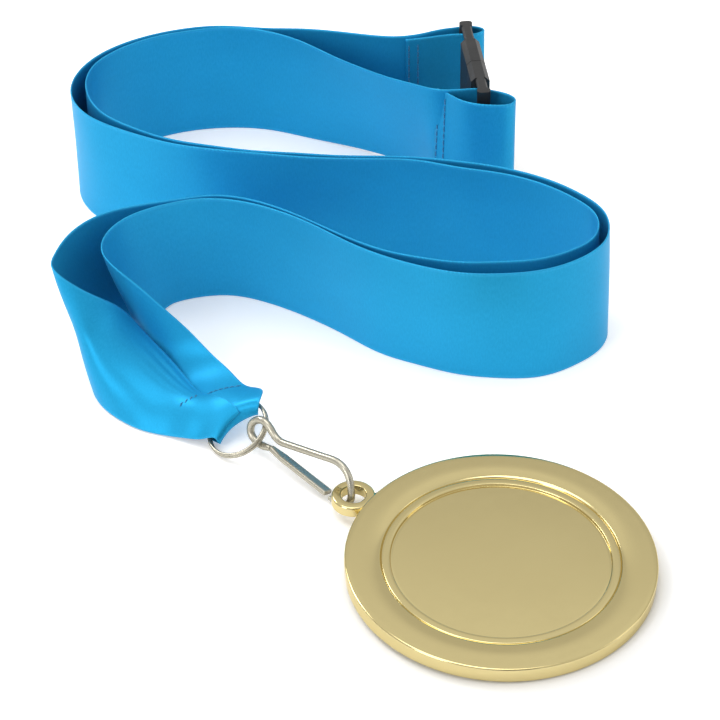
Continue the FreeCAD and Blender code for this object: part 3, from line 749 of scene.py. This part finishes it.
def make_ring():
    """Nearly two flat turns of wire joined by one short step; the cut ends are thinner."""
    out, side, n = ring_axes()
    angle = np.arange(RING_START, RING_STOP + 0.1, 2.5)
    climb = np.clip((angle - RING_START - RING_STEP_UP) / RING_STEP_LENGTH, 0, 1)
    climb = climb * climb * (3 - 2 * climb)
    a = np.radians(angle)
    circle = RING_RADIUS * (np.outer(np.cos(a), out) + np.outer(np.sin(a), side))
    centre = RING_CENTRE + circle + np.outer(RING_PITCH * (climb - 0.5), n)
    radius = np.full(len(a), RING_WIRE)
    radius[0] = radius[-1] = RING_END_WIRE
    points, faces = tube(centre, np.tile(n, (len(a), 1)), radius, radius, RING_SIDES)
    o = mesh_object("split_ring_wire", place(points), faces, NICKEL)
    attach(o, "split_ring", "split_ring")


make_ring()

# The hook's own plane: the line is (along, across) in it, from the cut end at the eye,
# round the eye, down the long side and back round the nose.
HOOK_ORIGIN = np.array([-52.0, 40.3, 5.4])
HOOK_HEADING, HOOK_LEAN = math.radians(-43.5), math.radians(20.0)
ALONG = np.array([math.cos(HOOK_HEADING), math.sin(HOOK_HEADING), 0])
LEVEL = np.array([-ALONG[1], ALONG[0], 0])
ACROSS = np.array([0, 0, 1]) * math.cos(HOOK_LEAN) + LEVEL * math.sin(HOOK_LEAN)
HOOK_NORMAL = np.cross(ALONG, ACROSS)
HOOK_LINE = [
    (5.3, -1.95), (2.8, -2.5), (0.5, -2.2), (-1.1, -0.95), (-1.35, 0.55), (-0.5, 2.05),
    (1.3, 2.95), (3.3, 2.6), (5.3, 1.4), (7.2, 0.75), (9.2, 0.95), (12.5, 1.6), (17.0, 2.5),
    (21.0, 3.32), (23.6, 3.65), (26.1, 3.0), (28.1, 1.1), (29.1, -1.1), (29.35, -3.0),
    (28.6, -4.25), (27.0, -4.72), (24.0, -4.72),
]
GATE_LINE = [(5.6, -1.9), (8.2, -2.25), (14.5, -3.05), (23.1, -4.1)]


def hook_tube(name, line, radii, square, body, node_name, steps):
    """Wire whose section goes from round to coined flat along its length.

    radii holds (share of the length, radius out of the plane, radius in the plane) and
    square holds (share of the length, squareness from 0 to 1).
    """
    curve, params = smooth_line([(t, b, 0.0) for t, b in line])
    s = np.linspace(0, params[-1], steps)
    flat = curve(s)
    centre = HOOK_ORIGIN + np.outer(flat[:, 0], ALONG) + np.outer(flat[:, 1], ACROSS)
    f = s / params[-1]
    wide = np.interp(f, [r[0] for r in radii], [r[1] for r in radii])
    thick = np.interp(f, [r[0] for r in radii], [r[2] for r in radii])
    boxy = np.interp(f, [q[0] for q in square], [q[1] for q in square])
    points, faces = tube(centre, np.tile(HOOK_NORMAL, (steps, 1)), wide, thick, HOOK_SIDES, boxy)
    o = mesh_object(name, place(points), faces, NICKEL)
    attach(o, body, node_name)


hook_tube("hook_bent_wire", HOOK_LINE,
          [(0, 0.62, 0.62), (0.04, 0.84, 0.84), (0.24, 0.87, 0.87), (0.4, 0.8, 0.8), (0.93, 0.8, 0.8),
           (0.97, 0.85, 0.6), (0.995, 0.9, 0.5), (1, 0.8, 0.42)],
          [(0, 0), (0.93, 0), (0.97, 0.6), (1, 0.7)], body="hook", node_name="hook_wire", steps=260)
hook_tube("hook_gate_blade", GATE_LINE,
          [(0, 0.78, 0.7), (0.1, 1.05, 0.64), (0.2, 1.3, 0.58), (0.985, 1.3, 0.57), (1, 1.2, 0.48)],
          [(0, 0.15), (0.12, 0.6), (0.22, 0.85), (1, 0.85)],
          body="hook_gate", node_name="hook_gate", steps=120)


# -------------------------------------------------------------- buckle
# The two halves keep their CAD shape and only take the moulded finish.
for name in ("buckle_socket", "buckle_plug"):
    o = frame["nodes"][name]
    o.data.materials.clear()
    o.data.materials.append(PLASTIC)


# ----------------------------------------------- floor, light and camera
FLOOR_HALF, FLOOR_DROP = 3.0, 0.00002   # half side, and how far it lies under the object


def make_floor():
    """White sheet under the object, with a painted glow that lifts the shade near it."""
    mesh = bpy.data.meshes.new("floor")
    s = FLOOR_HALF
    mesh.from_pydata([(-s, -s, 0), (s, -s, 0), (s, s, 0), (-s, s, 0)], [], [(0, 1, 2, 3)])
    m, t, p = new_material("floor_paper_painted_glow")
    at = t.nodes.new("ShaderNodeTexCoord").outputs["Object"]
    mottle = node(t, "ShaderNodeTexNoise", Scale=3.0, Detail=2.0)
    t.links.new(at, mottle.inputs["Vector"])
    paper = ramp(t, mottle.outputs["Fac"], [(0.3, grey(0.94)), (0.7, grey(0.955))])
    t.links.new(paper, p.inputs["Base Color"])
    # Painted light: the floor gives off a little warm light of its own, fading in from the front towards
    # the back, to lift the shade under and beside the ribbon.
    split = t.nodes.new("ShaderNodeSeparateXYZ")
    t.links.new(at, split.inputs["Vector"])
    painted_floor_glow = remap(t, split.outputs["Y"], (-0.075, -0.02), (0.0, 0.33))
    t.links.new(painted_floor_glow, p.inputs["Emission Strength"])
    set_inputs(p, {"Roughness": 0.75, "Specular IOR Level": 0.2, "Emission Color": (1.0, 0.93, 0.86, 1)})
    mesh.materials.append(m)
    o = bpy.data.objects.new("floor", mesh)
    bpy.context.scene.collection.objects.link(o)
    o.location.z = -FLOOR_DROP


def make_world():
    """White studio, dimmer above the horizon, with one dark end seen in polished edges."""
    world = bpy.context.scene.world or bpy.data.worlds.new("studio")
    bpy.context.scene.world = world
    world.use_nodes = True
    t = world.node_tree
    background = t.nodes["Background"]
    at = t.nodes.new("ShaderNodeTexCoord").outputs["Generated"]
    parts = t.nodes.new("ShaderNodeSeparateXYZ")
    t.links.new(at, parts.inputs["Vector"])
    up = remap(t, parts.outputs["Z"], (-1.0, 1.0), (0.0, 1.0))
    shades = [(0.0, 0.9), (0.5, 0.95), (0.6, 0.72), (0.835, 0.74), (0.858, 1.0), (0.93, 0.95), (1.0, 0.7)]
    sky = ramp(t, up, [(position, grey(shade)) for position, shade in shades])
    facing = node(t, "ShaderNodeVectorMath", operation="DOT_PRODUCT")
    facing.inputs[1].default_value = unit([0.12, -0.8, 0.59])
    t.links.new(at, facing.inputs[0])
    dark = remap(t, facing.outputs["Value"], (0.955, 0.985), (0.0, 1.0))
    t.links.new(colour_mix(t, dark, sky, (*grey(0.03), 1)), background.inputs["Color"])
    background.inputs["Strength"].default_value = 0.86


make_floor()
make_world()


def area_light(name, place_m, target, size, power):
    """White panel light that faces its target; places and sizes are in metres."""
    data = bpy.data.lights.new(name, "AREA")
    data.shape = "RECTANGLE"
    data.size, data.size_y = size
    data.energy = power
    o = bpy.data.objects.new(name, data)
    bpy.context.scene.collection.objects.link(o)
    o.location = place_m
    o.rotation_euler = (Vector(target) - Vector(place_m)).to_track_quat("-Z", "Y").to_euler()


MIDDLE = tuple(place([-25.0, 80.0, 10.0]))
area_light("overhead", (-0.15, 0.10, 1.30), MIDDLE, (0.9, 0.7), 5.0)
area_light("front_left", (-0.9, -0.9, 0.75), MIDDLE, (0.5, 0.9), 5.6)
area_light("right", (1.1, -0.1, 0.6), MIDDLE, (0.4, 0.8), 1.0)
area_light("back_left", (-0.75, 0.6, 0.9), MIDDLE, (0.45, 0.45), 4.5)

# The camera's place is in the layout's millimetres.
CAMERA_LENS, SENSOR = 130.8, 36.0
CAMERA_EYE = [-28.79, -399.33, 372.47]
CAMERA_PITCH, CAMERA_ROLL = math.radians(38.3736), math.radians(1.035)


def make_camera():
    """Looks along +Y and down by the pitch, rolled about its own axis."""
    data = bpy.data.cameras.new("camera")
    data.lens = CAMERA_LENS
    data.sensor_width = SENSOR
    data.clip_start = 0.01
    data.clip_end = 10.0
    camera = bpy.data.objects.new("camera", data)
    bpy.context.scene.collection.objects.link(camera)
    looking = Vector((0.0, math.cos(CAMERA_PITCH), -math.sin(CAMERA_PITCH)))
    right = Vector((1.0, 0.0, 0.0))
    above = right.cross(looking)
    turn = Matrix.Rotation(CAMERA_ROLL, 3, looking)
    axes = Matrix((turn @ right, turn @ above, -looking)).transposed().to_4x4()
    camera.matrix_world = Matrix.Translation(Vector(place(CAMERA_EYE))) @ axes
    bpy.context.scene.camera = camera
    bpy.context.scene.view_settings.view_transform = "Standard"


make_camera()
